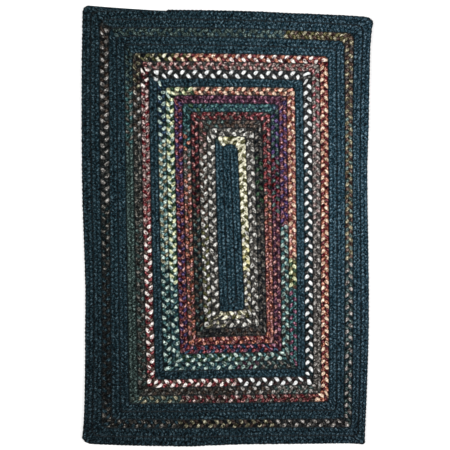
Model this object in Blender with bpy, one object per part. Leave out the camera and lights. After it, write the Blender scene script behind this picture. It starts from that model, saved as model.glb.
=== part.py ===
"""Braided rug: one long three-strand braid laid in a rectangular spiral and laced edge to edge.

The braid starts at the foot of the middle column, climbs it, turns over the top and winds
outwards clockwise, seen from above. Its end tapers away along the rug's top edge.
X runs across the rug, Y along it and Z up from the floor. The origin is under the rug's middle.
"""

import math
from collections import namedtuple

import bmesh
import bpy

MM = 0.001

# Section of one braid row, in metres.
THICKNESS = 9.5 * MM      # floor to the crest of a row
SHOULDER = 8.3 * MM       # upper face halfway from a groove to the crest
GROOVE_TOP = 5.6 * MM     # upper face at the lacing between two rows
GROOVE_UNDER = 2.2 * MM   # under face at the lacing
RIM_HEIGHT = 4.2 * MM     # the rug's outermost edge
PITCH = 17.4 * MM         # width of one braid row

# A lap's outer groove, in millimetres from the rug's middle lines. Left and right hold x from
# the top end to the foot end. Top and foot hold y from the left end to the right end. The waver
# is added at a quarter of the side and taken off at three quarters.
Side = namedtuple("Side", "start middle end waver")
LapLine = namedtuple("LapLine", "lap left right top foot")

LAP_LINES = (
    LapLine(0, Side(-25.2, -20.7, -14.6, 0), Side(22.9, 30.4, 38.4, 0),
            Side(172.5, 173.1, 172.5, 0), Side(-182.7, -180.5, -178.4, 0)),
    LapLine(4, Side(-94.3, -89.0, -81.1, 0), Side(92.5, 96.7, 100.3, 0),
            Side(241.3, 242.0, 240.7, 0), Side(-255.4, -251.6, -250.1, 0)),
    LapLine(9, Side(-183.1, -177.2, -168.9, 0), Side(179.8, 182.2, 183.6, 0),
            Side(330.4, 330.4, 327.2, 0), Side(-344.4, -340.8, -337.4, 0)),
    LapLine(13, Side(-250.5, -247.8, -244.2, 0), Side(249.8, 251.5, 249.4, 0),
            Side(402.5, 400.3, 391.9, 0), Side(-410.6, -410.8, -409.1, 0)),
    LapLine(16, Side(-306.6, -303.1, -307.6, -5.0), Side(309.9, 300.0, 293.2, -5.0),
            Side(455.7, 455.1, 442.1, 0), Side(-463.5, -464.5, -462.9, -1.7)),
)

# The spiral's sides are numbered in the order in which the braid runs along them. The first lap
# starts with side 0, and the middle column of the core is side -1. The groove right of that
# column stands for two sides: -5 as the column climbs, and -3 as the next one comes down.
TOP, RIGHT, FOOT, LEFT = range(4)
SIDES_PER_LAP = 4
LAST_LAP = 16
COLUMN_INSIDE = -5
COLUMN_FOOT = -2
CORE_COLUMNS = 3

# Corner bends of the grooves, in row pitches, in the order top left, top right, foot right,
# foot left. Rows inside the outer ones turn sharply. The first turn is a round arch.
ARCH_BEND = 0.85
INNER_BEND = 0.42
OUTER_BENDS = (0.95, 1.05, 0.4, 1.1)
OUTER_LAPS = 4            # laps over which the inner bend grows to the outer one

# The braid's tapered end, which lies along the top of the last lap.
TAIL_WIDTH = 11.2 * MM    # width with which it turns the top left corner
TAIL_END = SIDES_PER_LAP * (LAST_LAP + 1) + 0.375

# A side's first and last quarter of stations lie in its two bends.
BEND_SHARE = 0.25
STATIONS_PER_SIDE = 8
STATIONS_PER_LAP = STATIONS_PER_SIDE * SIDES_PER_LAP
RIDGE_PLACES = (0.25, 0.5, 0.75)
UPPER_RIDGE = (SHOULDER, THICKNESS, SHOULDER)
UNDER_RIDGE = (0.0, 0.0, 0.0)
WELD = 1e-5

YARN_COLOUR = (0.030, 0.060, 0.095, 1.0)
YARN_ROUGHNESS = 0.95


def mix(a, b, share):
    """Point or number between a and b."""
    if isinstance(a, tuple):
        return tuple(mix(p, q, share) for p, q in zip(a, b))
    return a + (b - a) * share


def edge(name, lap, t):
    """Place of a lap's outer groove on one side, in metres, at t along that side."""
    if lap < 0:
        return core_edge(name, lap, t)
    above = next(i for i, row in enumerate(LAP_LINES) if row.lap >= lap and row.lap > 0)
    low, high = LAP_LINES[above - 1], LAP_LINES[above]
    share = (lap - low.lap) / (high.lap - low.lap)
    line = Side(*mix(tuple(getattr(low, name)), tuple(getattr(high, name)), share))
    ends = line.start * (1 - t) * (1 - 2 * t) + line.end * t * (2 * t - 1)
    middle = line.middle * 4 * t * (1 - t)
    return (ends + middle + line.waver * math.sin(2 * math.pi * t)) * MM


def core_edge(name, lap, t):
    """Grooves between the columns of the core, which share its width equally."""
    left, right = edge("left", 0, t), edge("right", 0, t)
    if name == "left" and lap == -1:
        return mix(left, right, 1 / CORE_COLUMNS)
    if name in ("left", "right"):
        return mix(left, right, 2 / CORE_COLUMNS)
    if name == "top":
        return edge("top", 0, t) - PITCH
    return edge("foot", 0, t) + PITCH


def corner(number):
    """Sharp corner at which the spiral's side of this number starts."""
    lap, side = divmod(number, SIDES_PER_LAP)
    if number == COLUMN_INSIDE:
        return corner(COLUMN_FOOT)
    if lap > LAST_LAP:
        return (edge("left", LAST_LAP, 0), edge("top", LAST_LAP, 0) + TAIL_WIDTH)
    if side == TOP:
        return (edge("left", lap - 1, 0), edge("top", lap, 0))
    if side == RIGHT:
        return (edge("right", lap, 0), edge("top", lap, 1))
    if side == FOOT:
        return (edge("right", lap, 1), edge("foot", lap, 1))
    return (edge("left", lap, 1), edge("foot", lap, 0))


def side_ends(number):
    """Where a side of the spiral starts and ends; the braid's end stops short on the last one."""
    if number > SIDES_PER_LAP * LAST_LAP + LEFT:
        return corner(number), groove(TAIL_END - SIDES_PER_LAP)
    return corner(number), corner(number + 1)


def side_point(number, share):
    """Point on a side of the spiral, before its corners are bent."""
    lap, side = divmod(number, SIDES_PER_LAP)
    x, y = mix(*side_ends(number), share)
    if lap < 0 or lap > LAST_LAP:
        return (x, y)
    if side == TOP:
        return (x, edge("top", lap, share))
    if side == RIGHT:
        return (edge("right", lap, share), y)
    if side == FOOT:
        return (x, edge("foot", lap, 1 - share))
    return (edge("left", lap, 1 - share), y)


def bend_share(number, at_corner):
    """Share of a side that the bend at one of its corners takes. The core's own are sharp."""
    lap, side = divmod(at_corner, SIDES_PER_LAP)
    if lap < 0:
        return 0.0
    growth = (lap - LAST_LAP + OUTER_LAPS) / OUTER_LAPS
    bend = mix(INNER_BEND, OUTER_BENDS[side], min(1.0, max(0.0, growth)))
    if lap == 0 and side in (TOP, RIGHT):
        bend = ARCH_BEND
    return bend * PITCH / math.dist(*side_ends(number))


def bend_point(number, turned):
    """Point on the bend at a corner, turned from 0 to 1."""
    sharp = corner(number)
    before = side_point(number - 1, 1 - bend_share(number - 1, number))
    after = side_point(number, bend_share(number, number))
    in_share = 1 - math.sin(turned * math.pi / 2)
    out_share = 1 - math.cos(turned * math.pi / 2)
    return tuple(c + (b - c) * in_share + (a - c) * out_share for c, b, a in zip(sharp, before, after))


def groove(place):
    """Point of the spiral groove. A place counts sides, from the middle of one bend to the next."""
    number = math.floor(place)
    share = place - number
    tail_start = math.floor(TAIL_END) + BEND_SHARE
    if place > tail_start:
        tip = groove(TAIL_END - SIDES_PER_LAP)
        return mix(groove(tail_start), tip, (place - tail_start) / (TAIL_END - tail_start))
    if share <= BEND_SHARE:
        return bend_point(number, 0.5 + 0.5 * share / BEND_SHARE)
    if share >= 1 - BEND_SHARE:
        return bend_point(number + 1, 0.5 * (share - 1 + BEND_SHARE) / BEND_SHARE)
    straight = (share - BEND_SHARE) / (1 - 2 * BEND_SHARE)
    start = bend_share(number, number)
    end = 1 - bend_share(number, number + 1)
    return side_point(number, mix(start, end, straight))


def add_seam(mesh, station, last):
    """Groove between two rows: one point above and one below, or one shared point at the rim."""
    x, y = groove(station / STATIONS_PER_SIDE)
    if station >= last - STATIONS_PER_LAP:
        rim = mesh.verts.new((x, y, RIM_HEIGHT))
        return (rim, rim)
    return (mesh.verts.new((x, y, GROOVE_TOP)), mesh.verts.new((x, y, GROOVE_UNDER)))


def add_section(mesh, seams, station, blunt):
    """Upper and under line of points across the braid row; a blunt one is as low as the grooves."""
    inner, outer = seams[station - STATIONS_PER_LAP], seams[station]
    lines = []
    for level, heights, flat in ((0, UPPER_RIDGE, GROOVE_TOP), (1, UNDER_RIDGE, GROOVE_UNDER)):
        line = [inner[level]]
        for place, height in zip(RIDGE_PLACES, heights):
            spot = inner[level].co.lerp(outer[level].co, place)
            spot.z = flat if blunt else height
            line.append(mesh.verts.new(spot))
        lines.append(line + [outer[level]])
    return lines


def add_faces(mesh, section, next_section):
    """Upper and under faces between two sections."""
    for line, next_line in zip(section, next_section):
        for i in range(len(line) - 1):
            ring = [line[i], next_line[i], next_line[i + 1], line[i + 1]]
            unique = list(dict.fromkeys(ring))
            if len(unique) > 2:
                mesh.faces.new(unique)


def build_rug():
    """The rug as one closed mesh, with a ridge for each braid row."""
    mesh = bmesh.new()
    first = -STATIONS_PER_SIDE
    last = round(TAIL_END * STATIONS_PER_SIDE)
    seams = {s: add_seam(mesh, s, last) for s in range(first - STATIONS_PER_LAP, last)}
    sections = [add_section(mesh, seams, s, blunt=s == first) for s in range(first, last)]
    tip = seams[last - STATIONS_PER_LAP]
    sections.append([[tip[level]] * len(sections[0][level]) for level in (0, 1)])
    for section, next_section in zip(sections, sections[1:]):
        add_faces(mesh, section, next_section)
    bmesh.ops.remove_doubles(mesh, verts=mesh.verts, dist=WELD)
    loose = [v for v in mesh.verts if not v.link_faces]
    bmesh.ops.delete(mesh, geom=loose, context="VERTS")
    bmesh.ops.recalc_face_normals(mesh, faces=mesh.faces)
    data = bpy.data.meshes.new("braided_rug")
    mesh.to_mesh(data)
    mesh.free()
    data.shade_smooth()
    return data


def yarn_material():
    """Plain dark blue yarn, the rug's main colour."""
    material = bpy.data.materials.new("braided_yarn")
    material.use_nodes = True
    shader = material.node_tree.nodes["Principled BSDF"]
    shader.inputs["Base Color"].default_value = YARN_COLOUR
    shader.inputs["Roughness"].default_value = YARN_ROUGHNESS
    shader.inputs["Metallic"].default_value = 0.0
    return material


def main():
    for item in list(bpy.data.objects):
        bpy.data.objects.remove(item, do_unlink=True)
    rug = bpy.data.objects.new("braided_rug", build_rug())
    bpy.context.scene.collection.objects.link(rug)
    rug.data.materials.append(yarn_material())


main()
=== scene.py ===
"""Braided rug, dressed: three wool strands plaited flat and laid in a rectangular spiral.

The layout of the rows is the CAD part's. Here the braid gets its three real strands, which
cross over and under each other on both faces, and the yarn colours that change along its run.
X runs across the rug, Y along it and Z up from the floor. All lengths are in metres.
"""

import math
from collections import namedtuple

import bpy
import numpy as np
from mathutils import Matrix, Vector


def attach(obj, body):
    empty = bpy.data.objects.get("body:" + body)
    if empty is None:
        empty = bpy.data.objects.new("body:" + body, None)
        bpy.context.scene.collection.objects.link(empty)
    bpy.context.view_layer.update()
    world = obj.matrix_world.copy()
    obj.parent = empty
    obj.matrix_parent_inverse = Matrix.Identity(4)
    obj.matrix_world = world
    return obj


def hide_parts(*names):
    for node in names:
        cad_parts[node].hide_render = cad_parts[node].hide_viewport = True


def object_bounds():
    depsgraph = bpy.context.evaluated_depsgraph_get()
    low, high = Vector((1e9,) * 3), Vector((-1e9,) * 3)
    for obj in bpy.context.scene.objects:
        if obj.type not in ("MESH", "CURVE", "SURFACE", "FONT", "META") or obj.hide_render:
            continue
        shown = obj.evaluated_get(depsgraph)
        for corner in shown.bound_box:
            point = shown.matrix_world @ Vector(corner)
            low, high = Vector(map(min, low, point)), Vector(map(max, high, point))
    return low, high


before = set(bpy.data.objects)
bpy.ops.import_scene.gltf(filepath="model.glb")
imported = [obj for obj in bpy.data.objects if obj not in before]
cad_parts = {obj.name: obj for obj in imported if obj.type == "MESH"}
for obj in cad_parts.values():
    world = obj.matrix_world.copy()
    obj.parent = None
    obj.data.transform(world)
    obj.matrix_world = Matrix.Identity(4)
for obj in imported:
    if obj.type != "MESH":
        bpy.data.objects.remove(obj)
cad_low, cad_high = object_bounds()

MM = 0.001
SEED = 20                 # of the small unevenness of the strands
NODE = "braided_rug"

# ---------------------------------------------------------------- layout of the rows, as in CAD

PITCH = 17.4 * MM         # width of one braid row

# A lap's outer groove, in millimetres from the rug's middle lines. Left and right hold x from
# the top end to the foot end. Top and foot hold y from the left end to the right end. The waver
# is added at a quarter of the side and taken off at three quarters.
Side = namedtuple("Side", "start middle end waver")
LapLine = namedtuple("LapLine", "lap left right top foot")

LAP_LINES = (
    LapLine(0, Side(-25.2, -20.7, -14.6, 0), Side(22.9, 30.4, 38.4, 0),
            Side(172.5, 173.1, 172.5, 0), Side(-182.7, -180.5, -178.4, 0)),
    LapLine(4, Side(-94.3, -89.0, -81.1, 0), Side(92.5, 96.7, 100.3, 0),
            Side(241.3, 242.0, 240.7, 0), Side(-255.4, -251.6, -250.1, 0)),
    LapLine(9, Side(-183.1, -177.2, -168.9, 0), Side(179.8, 182.2, 183.6, 0),
            Side(330.4, 330.4, 327.2, 0), Side(-344.4, -340.8, -337.4, 0)),
    LapLine(13, Side(-250.5, -247.8, -244.2, 0), Side(249.8, 251.5, 249.4, 0),
            Side(402.5, 400.3, 391.9, 0), Side(-410.6, -410.8, -409.1, 0)),
    LapLine(16, Side(-306.6, -303.1, -307.6, -5.0), Side(309.9, 300.0, 293.2, -5.0),
            Side(455.7, 455.1, 442.1, 0), Side(-463.5, -464.5, -462.9, -1.7)),
)

# The spiral's sides are numbered in the order in which the braid runs along them. The first lap
# starts with side 0, and the middle column of the core is side -1. The groove right of that
# column stands for two sides: -5 as the column climbs, and -3 as the next one comes down.
# A place on the spiral is a side's number and a share of that side.
TOP, RIGHT, FOOT, LEFT = range(4)
SIDES_PER_LAP = 4
LAST_LAP = 16
FIRST_PLACE = -1.0
COLUMN_INSIDE = -5
COLUMN_FOOT = -2
CORE_COLUMNS = 3

# Corner bends of the grooves, in row pitches, in the order top left, top right, foot right,
# foot left. Rows inside the outer ones turn sharply. The first turn is a round arch.
ARCH_BEND = 0.85
INNER_BEND = 0.42
OUTER_BENDS = (0.95, 1.05, 0.4, 1.1)
OUTER_LAPS = 4            # laps over which the inner bend grows to the outer one
BEND_SHARE = 0.25         # the first and last quarter of a side's places lie in its two bends

TAIL_WIDTH = 11.2 * MM    # width with which the braid's thin end turns the top left corner
TAIL_PLACE = SIDES_PER_LAP * (LAST_LAP + 1)  # that corner, where the braid's last side starts
TAIL_END = TAIL_PLACE + 0.375
RIM_PLACE = TAIL_END - SIDES_PER_LAP  # from here on the braid's outer edge is the rug's own


def mix(a, b, share):
    """Point or number between a and b."""
    if isinstance(a, tuple):
        return tuple(mix(p, q, share) for p, q in zip(a, b))
    return a + (b - a) * share


def edge(name, lap, t):
    """Place of a lap's outer groove on one side, in metres, at t along that side."""
    if lap < 0:
        return core_edge(name, lap, t)
    above = next(i for i, row in enumerate(LAP_LINES) if row.lap >= lap and row.lap > 0)
    low, high = LAP_LINES[above - 1], LAP_LINES[above]
    share = (lap - low.lap) / (high.lap - low.lap)
    line = Side(*mix(getattr(low, name), getattr(high, name), share))
    # The parabola through the side's start, middle and end, and the waver on it.
    ends = line.start * (1 - t) * (1 - 2 * t) + line.end * t * (2 * t - 1)
    middle = line.middle * 4 * t * (1 - t)
    return (ends + middle + line.waver * math.sin(2 * math.pi * t)) * MM


def core_edge(name, lap, t):
    """Grooves between the columns of the core, which share its width equally."""
    left, right = edge("left", 0, t), edge("right", 0, t)
    if name == "left" and lap == -1:
        return mix(left, right, 1 / CORE_COLUMNS)
    if name in ("left", "right"):
        return mix(left, right, 2 / CORE_COLUMNS)
    if name == "top":
        return edge("top", 0, t) - PITCH
    return edge("foot", 0, t) + PITCH


def corner(number):
    """Sharp corner at which the spiral's side of this number starts."""
    lap, side = divmod(number, SIDES_PER_LAP)
    if number == COLUMN_INSIDE:
        return corner(COLUMN_FOOT)
    if lap > LAST_LAP:
        return (edge("left", LAST_LAP, 0), edge("top", LAST_LAP, 0) + TAIL_WIDTH)
    if side == TOP:
        return (edge("left", lap - 1, 0), edge("top", lap, 0))
    if side == RIGHT:
        return (edge("right", lap, 0), edge("top", lap, 1))
    if side == FOOT:
        return (edge("right", lap, 1), edge("foot", lap, 1))
    return (edge("left", lap, 1), edge("foot", lap, 0))


def side_ends(number):
    """Where a side of the spiral starts and ends; the braid's end stops short on the last one."""
    if number >= TAIL_PLACE:
        return corner(number), groove(RIM_PLACE)
    return corner(number), corner(number + 1)


def side_point(number, share):
    """Point on a side of the spiral, before its corners are bent."""
    lap, side = divmod(number, SIDES_PER_LAP)
    x, y = mix(*side_ends(number), share)
    if lap < 0 or lap > LAST_LAP:
        return (x, y)
    if side == TOP:
        return (x, edge("top", lap, share))
    if side == RIGHT:
        return (edge("right", lap, share), y)
    if side == FOOT:
        return (x, edge("foot", lap, 1 - share))
    return (edge("left", lap, 1 - share), y)


def bend_share(number, at_corner):
    """Share of a side that the bend at one of its corners takes. The core's own are sharp."""
    lap, side = divmod(at_corner, SIDES_PER_LAP)
    if lap < 0:
        return 0.0
    growth = (lap - LAST_LAP + OUTER_LAPS) / OUTER_LAPS
    bend = mix(INNER_BEND, OUTER_BENDS[side], min(1.0, max(0.0, growth)))
    if lap == 0 and side in (TOP, RIGHT):
        bend = ARCH_BEND
    return bend * PITCH / math.dist(*side_ends(number))


def bend_point(number, turned):
    """Point on the bend at a corner, turned from 0 to 1."""
    sharp = corner(number)
    before = side_point(number - 1, 1 - bend_share(number - 1, number))
    after = side_point(number, bend_share(number, number))
    in_share = 1 - math.sin(turned * math.pi / 2)
    out_share = 1 - math.cos(turned * math.pi / 2)
    return tuple(c + (b - c) * in_share + (a - c) * out_share
                 for c, b, a in zip(sharp, before, after))


def groove(place):
    """Point of the spiral groove. A place counts sides, from the middle of one bend to the next."""
    number = math.floor(place)
    share = place - number
    tail_start = math.floor(TAIL_END) + BEND_SHARE
    if place > tail_start:
        tip = groove(RIM_PLACE)
        return mix(groove(tail_start), tip, (place - tail_start) / (TAIL_END - tail_start))
    if share <= BEND_SHARE:
        return bend_point(number, 0.5 + 0.5 * share / BEND_SHARE)
    if share >= 1 - BEND_SHARE:
        return bend_point(number + 1, 0.5 * (share - 1 + BEND_SHARE) / BEND_SHARE)
    straight = (share - BEND_SHARE) / (1 - 2 * BEND_SHARE)
    start = bend_share(number, number)
    end = 1 - bend_share(number, number + 1)
    return side_point(number, mix(start, end, straight))


# ---------------------------------------------------------------- the braid

STRANDS = 3
PERIOD = 26.0 * MM        # run in which a strand goes from one edge to the other and back
SWING = 0.354 * PITCH     # how far a strand's middle swings to each side
LIFT = 2.5 * MM           # how far its middle rises and sinks where strands cross
MIDDLE_HEIGHT = 4.75 * MM  # of the braid, above the floor
LOBE_HALF_WIDTH = 3.9 * MM  # a strand's own size where it crosses the others
LOBE_HALF_HEIGHT = 2.2 * MM
EDGE_HALF_WIDTH = 2.6 * MM  # and where it turns at the braid's edge
EDGE_HALF_HEIGHT = 2.9 * MM
EDGE_NEARNESS = 6         # power of the swing that says how near a strand is to the braid's edge
EDGE_TURN = 0.25          # a strand is cut at its outer edge, a quarter of a period in
RINGS_PER_PERIOD = 12     # rings of points that make a strand
RING_SIDES = 8            # points in a ring
SAMPLES_PER_SIDE = 96     # steps in which the braid's course is worked out along a side
LEAST_STEP = 1e-7         # keeps the run growing from each sample to the next
FAN_REACH = 1.6 * PITCH   # distance from a corner over which its spread dies away
OVERHANG = 0.05           # share of a row's width by which a strand may pass its edge
TAIL_HEIGHT_SHARE = 0.35  # height of the braid's tip, as a share of a full row's
THIN_SIDES = 0.5          # sides before the tail's corner from which height follows width

# A strand's swing and its thickness wander a little, each with a new value every few rings.
SWING_WANDER = 0.03
SWING_WANDER_RINGS = 17
THICKNESS_WANDER = 0.04
THICKNESS_WANDER_RINGS = 5
SPARE_VALUES = 4          # values drawn past the last ring

# How far the rug's edge lies outside its even line at a place, in millimetres. The edge is uneven.
RIM_SWELLS = (
    (64.3, 2.2), (64.45, 2.3), (64.55, 1.9), (64.62, 0.9), (64.72, 1.9), (64.78, 1.1),
    (64.9, 1.7), (65.15, 3.4), (65.22, 1.6), (65.27, -0.8), (65.32, 1.6), (65.37, 3.0),
    (65.42, 0.5), (65.62, 0.8), (65.67, -0.1), (65.8, 0.3), (65.95, 2.1), (66.22, 2.5),
    (66.27, -0.3), (66.37, 1.3), (66.47, 0.7), (66.57, 2.8), (66.67, 1.2), (66.77, -0.5),
    (66.97, -0.3), (67.2, 1.7), (67.27, -1.1), (67.37, 2.1), (67.42, 1.0), (67.52, 2.1),
    (67.6, 0.2), (67.67, -0.4), (67.85, 0.1), (68.0, 1.7), (68.22, 3.5), (68.28, 2.9),
    (68.375, 0.5),
)

# The braid's course at each sample: place on the spiral, length run, the points of its two
# edges, height as a share of a full row's, and periods done.
Course = namedtuple("Course", "place run inner outer height turn")

# A strand's rings: each one's number, counted in steps of its own period, with the periods that
# the braid has done there, the length run, and the ring's points.
Strand = namedtuple("Strand", "index turn run points")


def fan(distance):
    """Share of a corner's spread that is left at a distance from it; it dies away smoothly."""
    left = np.clip(1 - distance / FAN_REACH, 0.0, 1.0)
    return left * left * (3 - 2 * left)


def square_up(inner, outer):
    """Pair the two edges of one side straight across the braid, except near its corners."""
    along = outer[-1] - outer[0]
    along = along / np.linalg.norm(along)
    inner_at, outer_at = inner @ along, outer @ along
    if inner_at[-1] - inner_at[0] < PITCH:
        return inner, outer
    middle = (inner_at + outer_at) / 2
    spread = (outer_at - inner_at) / 2
    slant = spread[0] * fan(middle - middle[0]) + spread[-1] * fan(middle[-1] - middle)
    inner_at, outer_at = np.maximum.accumulate(inner_at), np.maximum.accumulate(outer_at)
    paired = []
    for line, at, wanted in ((inner, inner_at, middle - slant), (outer, outer_at, middle + slant)):
        paired.append(np.stack([np.interp(wanted, at, line[:, axis]) for axis in range(2)], axis=1))
    return paired


def braid_course():
    """The braid's course, sampled densely from its start to the end of its tail."""
    count = round((TAIL_END - FIRST_PLACE) * SAMPLES_PER_SIDE)
    place = np.linspace(FIRST_PLACE, TAIL_END, count + 1)
    inner = np.array([groove(p - SIDES_PER_LAP) for p in place])
    outer = np.array([groove(p) for p in place])
    for start in range(0, count, SAMPLES_PER_SIDE):
        part = slice(start, min(start + SAMPLES_PER_SIDE, count) + 1)
        inner[part], outer[part] = square_up(inner[part], outer[part])
    middle = (inner + outer) / 2
    steps = np.linalg.norm(np.diff(middle, axis=0), axis=1)
    run = np.concatenate([[0.0], np.cumsum(np.maximum(steps, LEAST_STEP))])
    width = np.linalg.norm(outer - inner, axis=1) / PITCH
    thinning = place > TAIL_PLACE - THIN_SIDES
    height = np.where(thinning, np.clip(width, TAIL_HEIGHT_SHARE, 1.0), 1.0)
    step_turn = np.diff(run) / (PERIOD * (height[1:] + height[:-1]) / 2)
    turn = np.concatenate([[0.0], np.cumsum(step_turn)])
    return Course(place, run, inner, outer, height, turn)


def smooth_noise(rng, length, spacing):
    """Numbers around zero that wander smoothly, with a new value every few steps."""
    knots = rng.normal(0.0, 1.0, int(length / spacing) + SPARE_VALUES)
    return np.interp(np.arange(length) / spacing, np.arange(len(knots)), knots)


def ring_axes(angle, height, swing, lift):
    """Sideways and upward directions of a strand's rings, square to its course."""
    rate = 2 * math.pi / (PERIOD * height)
    forward = np.stack([np.ones(len(angle)), swing * rate * np.cos(angle),
                        2 * lift * rate * np.cos(2 * angle)], axis=1)
    forward /= np.linalg.norm(forward, axis=1, keepdims=True)
    side = np.stack([-forward[:, 1], forward[:, 0], np.zeros(len(angle))], axis=1)
    side /= np.linalg.norm(side, axis=1, keepdims=True)
    return side, np.cross(forward, side)


def strand_rings(course, number, rng):
    """One strand as rings of points, which are given along, across and above the braid."""
    phase = number / STRANDS
    first = math.ceil((phase - EDGE_TURN) * RINGS_PER_PERIOD)
    last = int((course.turn[-1] + phase - EDGE_TURN) * RINGS_PER_PERIOD)
    index = np.arange(first, last + 1)
    turn = index / RINGS_PER_PERIOD + EDGE_TURN - phase
    angle = 2 * math.pi * (turn + phase)
    run = np.interp(turn, course.turn, course.run)
    height = np.interp(run, course.run, course.height)
    swing = SWING * (1 + SWING_WANDER * smooth_noise(rng, len(index), SWING_WANDER_RINGS))
    lift = LIFT * height
    centre = np.stack([run, swing * np.sin(angle), lift * np.sin(2 * angle)], axis=1)
    side, rise = ring_axes(angle, height, swing, lift)
    at_edge = np.sin(angle) ** EDGE_NEARNESS
    thickness = 1 + THICKNESS_WANDER * smooth_noise(rng, len(index), THICKNESS_WANDER_RINGS)
    half_width = mix(LOBE_HALF_WIDTH, EDGE_HALF_WIDTH, at_edge) * thickness
    half_height = mix(LOBE_HALF_HEIGHT, EDGE_HALF_HEIGHT, at_edge) * height
    around = 2 * math.pi * np.arange(RING_SIDES) / RING_SIDES
    points = (centre[:, None, :]
              + side[:, None, :] * (half_width[:, None] * np.cos(around))[:, :, None]
              + rise[:, None, :] * (half_height[:, None] * np.sin(around))[:, :, None])
    return Strand(index, turn, run, points)


def lay_out(course, points):
    """Points given along, across and above the braid, placed in the rug."""
    run = points[..., 0]
    share = np.clip(points[..., 1] / PITCH + 0.5, -OVERHANG, 1 + OVERHANG)
    place = np.interp(run, course.run, course.place)
    swell = np.interp(place, *zip(*RIM_SWELLS)) * (place > RIM_PLACE)
    share = share + swell * MM / PITCH * share * share
    placed = np.empty(points.shape)
    for axis in range(2):
        inner = np.interp(run, course.run, course.inner[:, axis])
        outer = np.interp(run, course.run, course.outer[:, axis])
        placed[..., axis] = inner + (outer - inner) * share
    base = MIDDLE_HEIGHT * np.interp(run, course.run, course.height)
    placed[..., 2] = np.maximum(base + points[..., 2], 0.0)
    return placed


# ---------------------------------------------------------------- yarn colours

# A yarn's main colour, the second colour that comes and goes in its plies, and how much of it
# there is. Colours are display colours from 0 to 255.
Yarn = namedtuple("Yarn", "main fleck share")

YARNS = {
    "navy": Yarn((74, 104, 117), (42, 73, 86), 0.42),
    "blue": Yarn((76, 106, 134), (28, 52, 76), 0.40),
    "night": Yarn((32, 54, 59), (56, 78, 84), 0.35),
    "ink": Yarn((31, 35, 39), (61, 66, 69), 0.30),
    "soot": Yarn((70, 52, 52), (96, 79, 77), 0.30),
    "slate": Yarn((50, 54, 56), (86, 86, 84), 0.35),
    "charcoal": Yarn((74, 74, 72), (102, 99, 95), 0.30),
    "gray": Yarn((142, 138, 131), (72, 70, 66), 0.35),
    "silver": Yarn((232, 230, 224), (126, 124, 118), 0.30),
    "white": Yarn((251, 252, 252), (204, 206, 204), 0.20),
    "cream": Yarn((250, 247, 222), (158, 151, 117), 0.25),
    "butter": Yarn((242, 234, 178), (146, 137, 96), 0.30),
    "ash": Yarn((184, 179, 174), (110, 106, 102), 0.30),
    "khaki": Yarn((184, 178, 150), (104, 99, 76), 0.35),
    "olive": Yarn((102, 102, 64), (128, 124, 90), 0.30),
    "bark": Yarn((92, 76, 68), (116, 102, 92), 0.30),
    "umber": Yarn((118, 94, 86), (134, 112, 102), 0.30),
    "maroon": Yarn((136, 62, 67), (70, 40, 44), 0.35),
    "crimson": Yarn((172, 84, 88), (104, 46, 52), 0.35),
    "rosewood": Yarn((200, 146, 142), (122, 66, 69), 0.40),
    "coral": Yarn((216, 146, 122), (146, 86, 78), 0.35),
    "peach": Yarn((255, 226, 201), (188, 140, 116), 0.30),
    "blush": Yarn((255, 246, 240), (194, 150, 148), 0.28),
    "rose": Yarn((198, 122, 127), (116, 62, 69), 0.35),
    "mauve": Yarn((202, 177, 172), (116, 98, 97), 0.35),
    "grape": Yarn((66, 44, 58), (92, 64, 80), 0.30),
    "plum": Yarn((122, 79, 100), (66, 47, 64), 0.35),
    "orchid": Yarn((176, 119, 141), (96, 64, 90), 0.35),
    "violet": Yarn((110, 88, 142), (56, 54, 86), 0.35),
    "teal": Yarn((94, 140, 142), (54, 90, 94), 0.35),
    "sage": Yarn((104, 128, 124), (66, 84, 82), 0.35),
    "green": Yarn((72, 104, 78), (44, 66, 50), 0.35),
    "mist": Yarn((204, 224, 215), (126, 154, 148), 0.35),
    "lime": Yarn((238, 242, 200), (160, 170, 124), 0.30),
}

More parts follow.
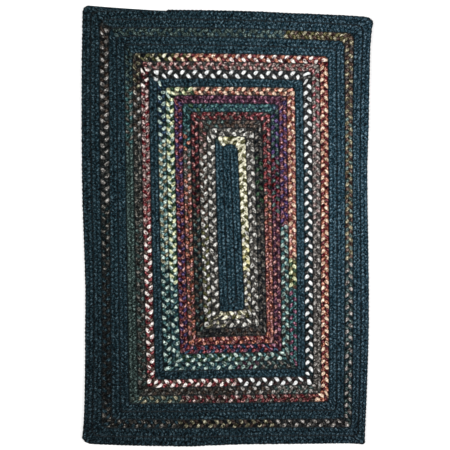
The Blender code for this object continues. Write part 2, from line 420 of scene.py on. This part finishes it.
# Strand colours from each place on, a place being lap, side and share of that side's length.
YARN_PLAN = (
    (-1, LEFT, 0.00, "navy navy navy"),
    (0, LEFT, 0.996, "cream cream olive"),
    (1, TOP, 0.30, "butter khaki olive"),
    (1, TOP, 0.50, "cream cream olive"),
    (1, RIGHT, 0.50, "cream silver olive"),
    (1, RIGHT, 0.60, "butter cream olive"),
    (1, RIGHT, 0.75, "silver khaki charcoal"),
    (1, FOOT, 0.00, "cream ash olive"),
    (1, FOOT, 0.70, "cream khaki charcoal"),
    (1, LEFT, 0.00, "silver gray charcoal"),
    (2, FOOT, 0.60, "ash khaki charcoal"),
    (2, LEFT, 0.00, "silver gray olive"),
    (2, LEFT, 0.50, "silver gray bark"),
    (2, LEFT, 0.85, "mauve gray bark"),
    (2, LEFT, 0.93, "rosewood bark charcoal"),
    (3, TOP, 0.00, "bark sage charcoal"),
    (3, TOP, 0.40, "bark bark slate"),
    (3, RIGHT, 0.00, "gray charcoal ink"),
    (3, RIGHT, 0.15, "charcoal green ink"),
    (3, RIGHT, 0.40, "gray charcoal ink"),
    (3, FOOT, 0.00, "charcoal bark charcoal"),
    (3, FOOT, 0.60, "charcoal slate ink"),
    (3, LEFT, 0.00, "sage ink bark"),
    (3, LEFT, 0.55, "bark maroon ink"),
    (3, LEFT, 0.75, "rosewood maroon ink"),
    (4, TOP, 0.00, "rosewood maroon charcoal"),
    (4, TOP, 0.72, "rose maroon charcoal"),
    (4, RIGHT, 0.00, "rosewood crimson slate"),
    (4, RIGHT, 0.35, "rosewood coral bark"),
    (4, RIGHT, 0.50, "coral rosewood rosewood"),
    (4, FOOT, 0.00, "coral rosewood maroon"),
    (4, LEFT, 0.00, "coral rosewood bark"),
    (4, LEFT, 0.60, "coral mauve bark"),
    (4, LEFT, 0.72, "mauve sage bark"),
    (4, LEFT, 0.82, "teal coral night"),
    (4, LEFT, 0.90, "teal teal night"),
    (5, TOP, 0.00, "teal navy green"),
    (5, TOP, 0.20, "teal navy teal"),
    (5, RIGHT, 0.00, "violet night sage"),
    (5, RIGHT, 0.20, "plum maroon sage"),
    (5, RIGHT, 0.45, "rosewood plum grape"),
    (5, RIGHT, 0.75, "orchid rosewood grape"),
    (5, FOOT, 0.00, "orchid blue crimson"),
    (5, LEFT, 0.00, "rosewood violet maroon"),
    (5, LEFT, 0.60, "rose violet plum"),
    (6, TOP, 0.00, "orchid grape plum"),
    (6, TOP, 0.22, "orchid plum plum"),
    (6, TOP, 0.50, "orchid grape plum"),
    (6, RIGHT, 0.00, "violet rosewood plum"),
    (6, RIGHT, 0.49, "mist teal charcoal"),
    (6, FOOT, 0.40, "mist teal green"),
    (6, LEFT, 0.00, "mist navy teal"),
    (6, LEFT, 0.28, "lime mist green"),
    (7, TOP, 0.00, "khaki lime green"),
    (7, TOP, 0.20, "peach coral bark"),
    (7, RIGHT, 0.00, "peach coral rosewood"),
    (7, RIGHT, 0.61, "lime olive green"),
    (7, RIGHT, 0.72, "teal orchid teal"),
    (7, FOOT, 0.00, "sage night gray"),
    (7, FOOT, 0.28, "mist sage plum"),
    (7, FOOT, 0.45, "mist teal navy"),
    (7, LEFT, 0.00, "mist teal night"),
    (7, LEFT, 0.35, "mist khaki teal"),
    (7, LEFT, 0.80, "mist blue night"),
    (8, TOP, 0.00, "navy navy navy"),
    (8, LEFT, 0.99, "white slate slate"),
    (9, RIGHT, 0.30, "white slate night"),
    (9, FOOT, 0.00, "white soot charcoal"),
    (9, FOOT, 0.45, "blush crimson umber"),
    (9, LEFT, 0.50, "mauve rosewood crimson"),
    (9, LEFT, 0.62, "mauve mauve crimson"),
    (9, LEFT, 0.93, "blush maroon soot"),
    (10, TOP, 0.00, "mauve rosewood charcoal"),
    (10, TOP, 0.50, "mauve rosewood gray"),
    (10, RIGHT, 0.00, "rose ash gray"),
    (10, RIGHT, 0.20, "mauve ash charcoal"),
    (10, RIGHT, 0.50, "ash gray charcoal"),
    (10, RIGHT, 0.75, "ash gray gray"),
    (10, FOOT, 0.00, "ash gray sage"),
    (10, FOOT, 0.25, "ash slate bark"),
    (10, FOOT, 0.50, "gray bark charcoal"),
    (10, LEFT, 0.00, "charcoal sage gray"),
    (10, LEFT, 0.50, "gray slate gray"),
    (10, LEFT, 0.76, "ash charcoal bark"),
    (10, LEFT, 0.90, "khaki slate bark"),
    (11, TOP, 0.00, "khaki olive ink"),
    (11, TOP, 0.09, "cream olive ink"),
    (11, TOP, 0.18, "peach olive maroon"),
    (11, TOP, 0.30, "peach coral maroon"),
    (11, TOP, 0.48, "blush coral maroon"),
    (11, RIGHT, 0.00, "peach coral maroon"),
    (11, FOOT, 0.05, "rosewood maroon bark"),
    (11, FOOT, 0.22, "rosewood gray maroon"),
    (11, FOOT, 0.45, "mauve bark maroon"),
    (11, FOOT, 0.75, "khaki sage sage"),
    (11, LEFT, 0.00, "sage sage sage"),
    (11, LEFT, 0.72, "sage gray teal"),
    (11, LEFT, 0.90, "navy sage sage"),
    (12, TOP, 0.00, "navy navy navy"),
    (14, TOP, 0.00, "sage sage navy"),
    (14, TOP, 0.73, "khaki olive bark"),
    (14, RIGHT, 0.00, "khaki bark charcoal"),
    (14, RIGHT, 0.20, "khaki sage bark"),
    (14, RIGHT, 0.58, "ash sage night"),
    (14, FOOT, 0.00, "ash slate slate"),
    (14, FOOT, 0.30, "khaki bark ink"),
    (14, FOOT, 0.70, "gray slate navy"),
    (14, LEFT, 0.05, "navy slate slate"),
    (14, LEFT, 0.38, "gray slate night"),
    (14, LEFT, 0.55, "ash slate slate"),
    (14, LEFT, 0.75, "ash slate bark"),
    (15, TOP, 0.00, "navy navy navy"),
)
PlanRow = namedtuple("PlanRow", "lap side share yarns")
SHADE_OVER = 4 * MM       # a colour shades into the next over twice this run

# The rug is palest a little right of its middle and darker towards its rims: partly painted
# light falloff, partly fading of the dark wool. Light yarns don't show it. The logarithm of
# brightness changes by these with x and x squared, and y and y squared, in metres. Those of red,
# green and blue alone change with x as well.
TONE_X = (2.2, -4.2)
TONE_Y = (0.88, -4.0)
TONE_HUE = (0.40, 0.0, 0.12)
TONE_FADES_AT = 0.6       # brightness of a yarn that no longer shows it


def linear(colour):
    """Display colour, 0 to 255, taken off the sRGB curve to the linear one that Blender mixes."""
    share = np.array(colour) / 255
    return np.where(share <= 0.04045, share / 12.92, ((share + 0.055) / 1.055) ** 2.4)


def plan_lines(course, strand):
    """Runs, and main and fleck colours there, between which one strand's colours shade."""
    rows = [PlanRow(*row) for row in YARN_PLAN]
    starts = []
    for row in rows:
        number = row.lap * SIDES_PER_LAP + row.side
        ends = np.interp([number, number + 1], course.place, course.run)
        starts.append(float(mix(ends[0], ends[1], row.share)))
    runs, mains, flecks = [], [], []
    for start, end, row in zip(starts, starts[1:] + [course.run[-1]], rows):
        yarn = YARNS[row.yarns.split()[strand]]
        for run in (start + SHADE_OVER, end - SHADE_OVER):
            runs.append(run)
            mains.append([*linear(yarn.main), 1.0])
            flecks.append([*linear(yarn.fleck), yarn.share])
    return np.array(runs), np.array(mains), np.array(flecks)


def lit_and_faded(colours, spots):
    """Dark colours paler or darker by place in the rug: part painted light, part faded wool."""
    x, y = spots[:, 0:1], spots[:, 1:2]
    tone = np.exp(TONE_X[0] * x + TONE_X[1] * x * x + TONE_Y[0] * y + TONE_Y[1] * y * y)
    bright = np.clip(colours[:, :3].max(axis=1, keepdims=True) / TONE_FADES_AT, 0.0, 1.0)
    tone = tone * np.exp(x * np.array(TONE_HUE))
    colours[:, :3] *= mix(tone, 1.0, bright)
    return colours


def strand_colours(course, run, spots, strand):
    """Main and fleck colour of a strand at each ring; the fleck's alpha is its share."""
    runs, *plans = plan_lines(course, strand)
    colours = []
    for plan in plans:
        channels = [np.interp(run, runs, channel) for channel in plan.T]
        colours.append(lit_and_faded(np.stack(channels, axis=-1), spots))
    return colours


# ---------------------------------------------------------------- meshes

STRAND_OFFSET = 2000.0    # periods between the texture places of two strands
# The lines of lobes on the left and right sides, and the darker rows on top and foot, are painted
# shade of light from the sides.
LOBE_LINE = 0.245 * PITCH  # distance of each line of lobes from the row's middle
LINE_SHARE = 0.35         # how much those lines count in a strand's depth, left and right
PLAIN_LEVEL = 0.935       # level kept by rows on top and foot, where the lines don't stand out
RIM_START = 0.72          # share of the outermost row's width at which its edge starts to darken
RIM_DEPTH = 0.6           # share of light lost at the very edge

# A part of a strand, placed in the rug: its rings' points and how far each lies toward the braid's
# faces, which sets their painted shade, and each ring's periods done and colours.
Tube = namedtuple("Tube", "points level turn main fleck strand")


def tube_faces(rings, offset):
    """Side faces and two end caps of a tube whose points start at an offset in its mesh."""
    ring = np.arange(rings - 1)[:, None] * RING_SIDES
    step = np.arange(RING_SIDES)[None, :]
    after = (step + 1) % RING_SIDES
    quads = np.stack([ring + step, ring + RING_SIDES + step,
                      ring + RING_SIDES + after, ring + after], axis=-1)
    quads = quads.reshape(-1, 4)[:, ::-1] + offset
    first_ring = offset + np.arange(RING_SIDES)
    last_ring = first_ring + (rings - 1) * RING_SIDES
    return quads.tolist(), [first_ring.tolist(), last_ring[::-1].tolist()]


def side_uv(rings, turns):
    """Texture places of a tube's side faces: share of the way round, and periods along."""
    step = np.arange(RING_SIDES)
    shape = (rings - 1, RING_SIDES)
    near = np.broadcast_to(step / RING_SIDES, shape)
    far = np.broadcast_to((step + 1) / RING_SIDES, shape)
    low = np.broadcast_to(turns[:-1, None], shape)
    high = np.broadcast_to(turns[1:, None], shape)
    corners = np.stack([near, low, near, high, far, high, far, low], axis=-1)
    corners = corners.reshape(-1, 4, 2)[:, ::-1, :]
    return corners.reshape(-1, 2)


def add_colours(mesh, name, colours):
    """Colour and alpha at each point of a mesh, for its material."""
    layer = mesh.attributes.new(name, "FLOAT_COLOR", "POINT")
    layer.data.foreach_set("color", np.ascontiguousarray(colours, dtype=np.float32).ravel())


def build_tubes(name, tubes):
    """One mesh out of several strand tubes, with their colours and texture places."""
    points, sides, caps, uvs, mains, flecks = [], [], [], [], [], []
    for tube in tubes:
        rings = len(tube.points)
        quads, ends = tube_faces(rings, sum(map(len, points)))
        points.append(tube.points.reshape(-1, 3))
        sides.extend(quads)
        caps.extend(ends)
        uvs.append(side_uv(rings, tube.turn + tube.strand * STRAND_OFFSET))
        main = np.repeat(tube.main, RING_SIDES, axis=0)
        # The main colour's alpha carries the level, from which the material paints shade.
        main[:, 3] = tube.level.ravel()
        mains.append(main)
        flecks.append(np.repeat(tube.fleck, RING_SIDES, axis=0))
    mesh = bpy.data.meshes.new(name)
    mesh.from_pydata(np.concatenate(points).tolist(), [], sides + caps)
    layer = mesh.uv_layers.new(name="strand")
    uv = np.concatenate(uvs + [np.zeros((len(caps) * RING_SIDES, 2))])
    layer.data.foreach_set("uv", np.ascontiguousarray(uv, dtype=np.float32).ravel())
    add_colours(mesh, "yarn_main", np.concatenate(mains))
    add_colours(mesh, "yarn_fleck", np.concatenate(flecks))
    mesh.shade_smooth()
    mesh.update()
    return mesh


def add_piece(name, mesh, material):
    """A piece of the rug: it stands for the CAD solid and lies on its only body."""
    piece = bpy.data.objects.new(name, mesh)
    bpy.context.scene.collection.objects.link(piece)
    mesh.materials.append(material)
    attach(piece, "root")
    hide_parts(NODE)
    return piece


def lobe_line(across):
    """How near a point lies to the two lines of lobes that each row shows, from 0 to 1."""
    return 0.5 - 0.5 * np.cos(math.pi * across / LOBE_LINE)


def painted_side_light_level(course, run, level, across):
    """Level with painted side light: lines of lobes on the rug's left and right sides stand out."""
    number = np.floor(np.interp(run, course.run, course.place)).astype(int)
    upright = number % 2 == RIGHT % 2
    lined = mix(level, lobe_line(across), LINE_SHARE)
    return np.where(upright[:, None], lined, level * PLAIN_LEVEL)


def rim_shade(course, points):
    """Share of light at each point; the outer flank of the outermost row is in its own shade."""
    place = np.interp(points[..., 0], course.run, course.place)
    share = np.clip(points[..., 1] / PITCH + 0.5, 0.0, 1.0)
    flank = np.clip((share - RIM_START) / (1 - RIM_START), 0.0, 1.0)
    return 1 - RIM_DEPTH * flank * (place > RIM_PLACE)


def lap_tube(course, strand, number, cuts):
    """A strand's tube between two cuts, which are given in periods done."""
    phase = number / STRANDS
    start, end = (round(cut + phase - EDGE_TURN) * RINGS_PER_PERIOD for cut in cuts)
    chosen = (strand.index >= start) & (strand.index <= end)
    run, points = strand.run[chosen], strand.points[chosen]
    height = np.interp(run, course.run, course.height)[:, None]
    # Level: low at mid height, deep between the strands, where the material paints shade.
    level = np.abs(points[..., 2]) / ((LIFT + LOBE_HALF_HEIGHT) * height)
    level = painted_side_light_level(course, run, level, points[..., 1]) * rim_shade(course, points)
    placed = lay_out(course, points)
    main, fleck = strand_colours(course, run, placed.mean(axis=1), number)
    return Tube(placed, level, strand.turn[chosen], main, fleck, number)


def build_laps(course, material):
    """The braid, one piece to a lap, so that no mesh is too large."""
    rng = np.random.default_rng(SEED)
    strands = [strand_rings(course, number, rng) for number in range(STRANDS)]
    lap_places = SIDES_PER_LAP * np.arange(1, LAST_LAP + 1)
    between = np.interp(lap_places, course.place, course.turn)
    cuts = [course.turn[0] - 1, *between, course.turn[-1] + 1]
    pieces = []
    for lap, ends in enumerate(zip(cuts, cuts[1:])):
        name = f"braid_lap_{lap:02d}"
        tubes = [lap_tube(course, strand, number, ends) for number, strand in enumerate(strands)]
        pieces.append(add_piece(name, build_tubes(name, tubes), material))
    return pieces


# ---------------------------------------------------------------- ground

# Heights of the sheet's two faces, in the middle of a row and at the seams between rows. The
# seams under the rug lie higher than its rows there, so that the sheet stays inside the braid.
GROUND_TOP = 6.2 * MM
GROUND_SEAM_TOP = 5.2 * MM
GROUND_SEAM_UNDER = 3.6 * MM
GROUND_UNDER = 3.3 * MM
GROUND_RIM = 4.2 * MM     # height at which its faces meet inside the rug's edge
GROUND_TIP = GROUND_RIM * TAIL_HEIGHT_SHARE  # and at the two ends of that edge
GROUND_REACH = 0.75       # share of the outermost row that it reaches across
GROUND_SHARES = (0.25, 0.5, 0.75)  # shares of a row's width at which it has points
GROUND_STATIONS = 8       # cross sections in each side of the spiral
GROUND_FIRST = round(FIRST_PLACE * GROUND_STATIONS)
GROUND_LAST = round(TAIL_END * GROUND_STATIONS)
GROUND_RIM_FIRST = GROUND_LAST - GROUND_STATIONS * SIDES_PER_LAP


class SharedPoints:
    """Points of a mesh, where those that fall on one spot are one point."""

    def __init__(self):
        self.points = []
        self.numbers = {}

    def at(self, x, y, z):
        """Number of the point at this spot, to a hundredth of a millimetre."""
        key = (round(x / MM, 2), round(y / MM, 2), round(z / MM, 2))
        if key not in self.numbers:
            self.numbers[key] = len(self.points)
            self.points.append((x, y, z))
        return self.numbers[key]


def outer_height(station, seam):
    """Height of the sheet's outer edge at a cross section, where the seam has this height."""
    if station < GROUND_RIM_FIRST:
        return seam
    if station in (GROUND_RIM_FIRST, GROUND_LAST - 1, GROUND_LAST):
        return GROUND_TIP
    return GROUND_RIM


def cross_section(shared, station):
    """The sheet's upper and lower line across the braid, as numbers of points."""
    inner = groove(station / GROUND_STATIONS - SIDES_PER_LAP)
    outer = groove(station / GROUND_STATIONS)
    if station > GROUND_RIM_FIRST:
        outer = mix(inner, outer, GROUND_REACH)
    thinness = TAIL_HEIGHT_SHARE if station >= GROUND_LAST - 1 else 1.0
    lines = []
    for seam, ridge in ((GROUND_SEAM_TOP, GROUND_TOP), (GROUND_SEAM_UNDER, GROUND_UNDER)):
        middle_height = seam if station == GROUND_FIRST else ridge * thinness
        line = [shared.at(*inner, GROUND_TIP if station == GROUND_LAST else seam)]
        for share in GROUND_SHARES:
            line.append(shared.at(*mix(inner, outer, share), middle_height))
        line.append(shared.at(*outer, outer_height(station, seam)))
        lines.append(line)
    return lines


def build_ground():
    """Thin closed sheet inside the braid: the filling of the strands and the lacing."""
    shared = SharedPoints()
    sections = [cross_section(shared, station) for station in range(GROUND_FIRST, GROUND_LAST + 1)]
    faces = []
    for one, two in zip(sections, sections[1:]):
        for under, (line, after) in enumerate(zip(one, two)):
            for i in range(len(line) - 1):
                ring = list(dict.fromkeys([line[i], after[i], after[i + 1], line[i + 1]]))
                if len(ring) > 2:
                    faces.append(ring if under else ring[::-1])
    mesh = bpy.data.meshes.new("rug_ground")
    mesh.from_pydata(shared.points, [], faces)
    mesh.validate()
    mesh.shade_smooth()
    return mesh


# ---------------------------------------------------------------- materials

PLIES = 7                 # yarns side by side round a strand
PLY_TWIST = 0.5           # plies that they turn in one period
TWISTS = 12.0             # turns of a ply's own spinning in one period
FIBRES = 4.0              # fibres side by side across a ply
FIBRE_TURNS = 41.6        # fibres that one passes in a period, as they wind round the plies
FIBRE_STRETCH = 14.4      # changes along a fibre in one period
FIBRE_DETAIL = 3.0        # steps of ever finer noise in them
STRETCH = 7.0             # colour changes along a ply in one period
DAPPLE_SCALE = 2.1        # dapples, lighter and darker, to a colour change
PATCH_STEP = 5.7          # distance between two plies in the noise of the colour changes
DAPPLE_STEP = 9.1         # the same in the noise of the dapples
DAPPLE_LAYER = 40.0       # distance between the dapples' noise and that of the colour changes
FLECK_LIMIT = 0.72        # noise above which the second colour shows, where its share is 0
FLECK_GAIN = 0.55         # how far that limit falls, where its share is 1
LIGHT_PASSED = 0.5        # share of a white strand's shade that light inside the wool takes away
FIBRE_RELIEF = 0.6        # relief of the fibres, where a ply's roundness has 1
TWIST_RELIEF = 0.25       # relief of its spinning
RELIEF_DEPTH = 0.5 * MM
RELIEF_STRENGTH = 0.7

# A value that runs smoothly from one number to another as what it follows goes from low to high.
Span = namedtuple("Span", "low high at_low at_high")

FLECK_EDGE = Span(-0.04, 0.04, 0.0, 1.0)    # share of the second colour over a fleck's edge
DAPPLE_SHADE = Span(0.36, 0.64, 0.06, 1.39)
PLY_SHADE = Span(0.0, 0.85, 0.10, 1.05)     # painted shade, darkest in the seam between two plies
FIBRE_SHADE = Span(0.34, 0.66, 0.66, 1.22)
# Painted shade in the grooves of each ply's spinning.
TWIST_SHADE = Span(0.0, 1.0, 0.78, 1.06)
PAINTED_DEPTH_SHADE = Span(0.35, 0.90, 0.25, 1.0)   # painted shade, darkest at mid height deep between the strands
RICHNESS = Span(0.05, 1.10, 1.20, 0.80)     # colour is fuller in the shade than in the light
ROUGHNESS = Span(0.3, 0.7, 0.82, 0.98)

GROUND_FIBRES = 700.0     # fibres in a metre, inside the braid
# Near-black colours of the sheet inside the braid: painted shade deep between the strands.
GROUND_DARK = (0.006, 0.009, 0.011, 1)
GROUND_LIGHT = (0.022, 0.030, 0.034, 1)
GROUND_BLEND = Span(0.3, 0.7, 0.0, 1.0)
GROUND_ROUGHNESS = Span(0.3, 0.7, 0.85, 1.0)
GROUND_RELIEF_STRENGTH = 0.6


class Graph:
    """Short way to write a material's nodes."""

    def __init__(self, name):
        self.material = bpy.data.materials.new(name)
        self.material.use_nodes = True
        self.nodes = self.material.node_tree.nodes
        self.links = self.material.node_tree.links
        self.shader = self.nodes["Principled BSDF"]

    def feed(self, socket, value):
        """Link a socket, or set it where the value is a constant."""
        if isinstance(value, bpy.types.NodeSocket):
            self.links.new(value, socket)
        else:
            socket.default_value = value

    def add(self, kind, inputs=None, **settings):
        """New node with these settings and inputs."""
        node = self.nodes.new("ShaderNode" + kind)
        for key, value in settings.items():
            setattr(node, key, value)
        for key, value in (inputs or {}).items():
            self.feed(node.inputs[key], value)
        return node

    def finish(self, inputs):
        """Feed the shader these inputs, and give the material."""
        for key, value in inputs.items():
            self.feed(self.shader.inputs[key], value)
        return self.material

    def maths(self, operation, a, b=0.0):
        """Result of one sum."""
        return self.add("Math", {0: a, 1: b}, operation=operation).outputs[0]

    def times(self, a, b):
        """Product of two values."""
        return self.maths("MULTIPLY", a, b)

    def plus(self, a, b):
        """Sum of two values."""
        return self.maths("ADD", a, b)

    def arch(self, share):
        """Arch over a share from 0 to 1: 0 at both ends and 1 in the middle."""
        return self.times(self.times(share, self.maths("SUBTRACT", 1.0, share)), 4.0)

    def follow(self, value, span):
        """Value carried smoothly from one range to another."""
        inputs = {"Value": value, "From Min": span.low, "From Max": span.high,
                  "To Min": span.at_low, "To Max": span.at_high}
        return self.add("MapRange", inputs, interpolation_type="SMOOTHSTEP").outputs["Result"]

    def vector(self, x, y=0.0, z=0.0):
        """Vector of three values."""
        return self.add("CombineXYZ", {0: x, 1: y, 2: z}).outputs[0]

    def noise(self, where, scale=1.0, detail=1.0):
        """Smooth noise from 0 to 1."""
        node = self.add("TexNoise", {"Vector": where, "Scale": scale, "Detail": detail})
        return node.outputs["Fac"]

    def colour_mix(self, share, a, b):
        """Blend of two colours."""
        node = self.add("Mix", {"Factor": share, "A": a, "B": b}, data_type="RGBA")
        return node.outputs["Result"]

    def enriched(self, colour, richness):
        """Colour made fuller or paler."""
        node = self.add("HueSaturation", {"Saturation": richness, "Color": colour})
        return node.outputs["Color"]

    def lifted(self, shade, colour):
        """Shade made weaker in light wool, whose fibres pass light on to each other."""
        light = self.add("RGBToBW", {0: colour}).outputs[0]
        return self.follow(self.times(light, LIGHT_PASSED), Span(0.0, 1.0, shade, 1.0))

    def scaled(self, colour, factor):
        """Colour made lighter or darker."""
        node = self.add("VectorMath", {0: colour, "Scale": factor}, operation="SCALE")
        return node.outputs[0]

    def bump(self, relief, strength):
        """Surface with this relief."""
        inputs = {"Height": relief, "Strength": strength, "Distance": RELIEF_DEPTH}
        return self.add("Bump", inputs).outputs[0]


def yarn_material():
    """Wool: plies along each strand, a second colour that comes and goes in them, and fibre."""
    g = Graph("braided_yarn")
    place = g.add("SeparateXYZ", {0: g.add("UVMap", uv_map="strand").outputs[0]})
    around, along = place.outputs[0], place.outputs[1]
    turned = g.plus(g.times(around, PLIES), g.times(along, PLY_TWIST))
    within = g.maths("FRACT", turned)
    ply = g.maths("MODULO", g.maths("FLOOR", turned), PLIES)
    roundness = g.arch(within)
    twist = g.arch(g.maths("FRACT", g.plus(g.times(along, TWISTS), within)))
    wound = g.plus(g.times(turned, FIBRES), g.times(along, FIBRE_TURNS))
    fibre = g.noise(g.vector(wound, g.times(along, FIBRE_STRETCH)), detail=FIBRE_DETAIL)
    stretch = g.times(along, STRETCH)
    patch = g.noise(g.vector(g.times(ply, PATCH_STEP), stretch))
    dapple = g.noise(g.vector(g.times(ply, DAPPLE_STEP), stretch, DAPPLE_LAYER), DAPPLE_SCALE)

    main = g.add("Attribute", attribute_name="yarn_main").outputs
    fleck = g.add("Attribute", attribute_name="yarn_fleck").outputs
    limit = g.maths("SUBTRACT", FLECK_LIMIT, g.times(fleck["Alpha"], FLECK_GAIN))
    flecked = g.follow(g.maths("SUBTRACT", patch, limit), FLECK_EDGE)
    colour = g.colour_mix(flecked, main["Color"], fleck["Color"])

    # Random dapples and fibre, times painted shade in ply seams, spin grooves and between strands.
    shade = g.follow(dapple, DAPPLE_SHADE)
    for value, span in ((roundness, PLY_SHADE), (fibre, FIBRE_SHADE), (twist, TWIST_SHADE),
                        (main["Alpha"], PAINTED_DEPTH_SHADE)):
        shade = g.times(shade, g.follow(value, span))
    rich = g.enriched(colour, g.follow(shade, RICHNESS))
    relief = g.plus(roundness, g.times(fibre, FIBRE_RELIEF))
    relief = g.plus(relief, g.times(twist, TWIST_RELIEF))
    return g.finish({
        "Base Color": g.scaled(rich, g.lifted(shade, colour)),
        "Roughness": g.follow(fibre, ROUGHNESS),
        "Normal": g.bump(relief, RELIEF_STRENGTH),
        "Metallic": 0.0,
        "Sheen Weight": 0.03,
        "Sheen Roughness": 0.5,
        "Specular IOR Level": 0.04,
    })


def ground_material():
    """Wool deep between the strands, painted near black for the shade there."""
    g = Graph("braid_inside")
    position = g.add("NewGeometry").outputs["Position"]
    fibre = g.noise(position, GROUND_FIBRES, FIBRE_DETAIL)
    return g.finish({
        "Base Color": g.colour_mix(g.follow(fibre, GROUND_BLEND), GROUND_DARK, GROUND_LIGHT),
        "Roughness": g.follow(fibre, GROUND_ROUGHNESS),
        "Normal": g.bump(fibre, GROUND_RELIEF_STRENGTH),
        "Specular IOR Level": 0.1,
    })


# ---------------------------------------------------------------- stage

PHOTO_SPAN = 0.954        # width of the photograph's frame at the rug's top, in metres
PHOTO_CENTRE = (-0.00356, 0.00182)
CAMERA_HEIGHT = 3.2
CAMERA_REACH = 50         # distance past which the camera sees nothing
SENSOR = 36.0             # camera sensor, in millimetres
FLOOR_REACH = 8.0         # distance of the floor's edges from its middle
FLOOR_COLOUR = (0.93, 0.93, 0.93, 1)
LEFT_LIGHT = (-2.4, 0.3, 2.1)
RIGHT_LIGHT = (2.4, -0.3, 2.1)
LIGHT_SIZE = 1.2
LEFT_POWER = 80           # in watts
RIGHT_POWER = 84
SKY_STRENGTH = 0.54


def add_floor():
    """Plain pale floor."""
    mesh = bpy.data.meshes.new("floor")
    corners = [(-FLOOR_REACH, -FLOOR_REACH, 0), (FLOOR_REACH, -FLOOR_REACH, 0),
               (FLOOR_REACH, FLOOR_REACH, 0), (-FLOOR_REACH, FLOOR_REACH, 0)]
    mesh.from_pydata(corners, [], [(0, 1, 2, 3)])
    floor = bpy.data.objects.new("floor", mesh)
    bpy.context.scene.collection.objects.link(floor)
    inputs = {"Base Color": FLOOR_COLOUR, "Roughness": 0.9, "Specular IOR Level": 0.1}
    mesh.materials.append(Graph("floor").finish(inputs))


def add_light(name, place, power):
    """Soft round light that points at the rug's middle."""
    data = bpy.data.lights.new(name, "AREA")
    data.shape = "DISK"
    data.size = LIGHT_SIZE
    data.energy = power
    light = bpy.data.objects.new(name, data)
    light.location = place
    light.rotation_euler = (-Vector(place)).to_track_quat("-Z", "Y").to_euler()
    bpy.context.scene.collection.objects.link(light)


def add_camera():
    """Camera straight above the rug, with the photograph's frame."""
    data = bpy.data.cameras.new("camera")
    data.sensor_width = SENSOR
    data.lens = SENSOR * (CAMERA_HEIGHT - cad_high.z) / PHOTO_SPAN
    data.clip_end = CAMERA_REACH
    camera = bpy.data.objects.new("camera", data)
    camera.location = (*PHOTO_CENTRE, CAMERA_HEIGHT)
    bpy.context.scene.collection.objects.link(camera)
    bpy.context.scene.camera = camera


def add_world():
    """Even white light from all round."""
    world = bpy.data.worlds.new("studio")
    world.use_nodes = True
    background = world.node_tree.nodes["Background"]
    background.inputs["Color"].default_value = (1, 1, 1, 1)
    background.inputs["Strength"].default_value = SKY_STRENGTH
    bpy.context.scene.world = world


def main():
    """Build the rug and its studio."""
    course = braid_course()
    laps = build_laps(course, yarn_material())
    ground = add_piece("rug_ground", build_ground(), ground_material())
    add_floor()
    add_light("left_light", LEFT_LIGHT, LEFT_POWER)
    add_light("right_light", RIGHT_LIGHT, RIGHT_POWER)
    add_world()
    add_camera()
    bpy.context.scene.view_settings.view_transform = "Standard"
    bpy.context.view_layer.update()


main()
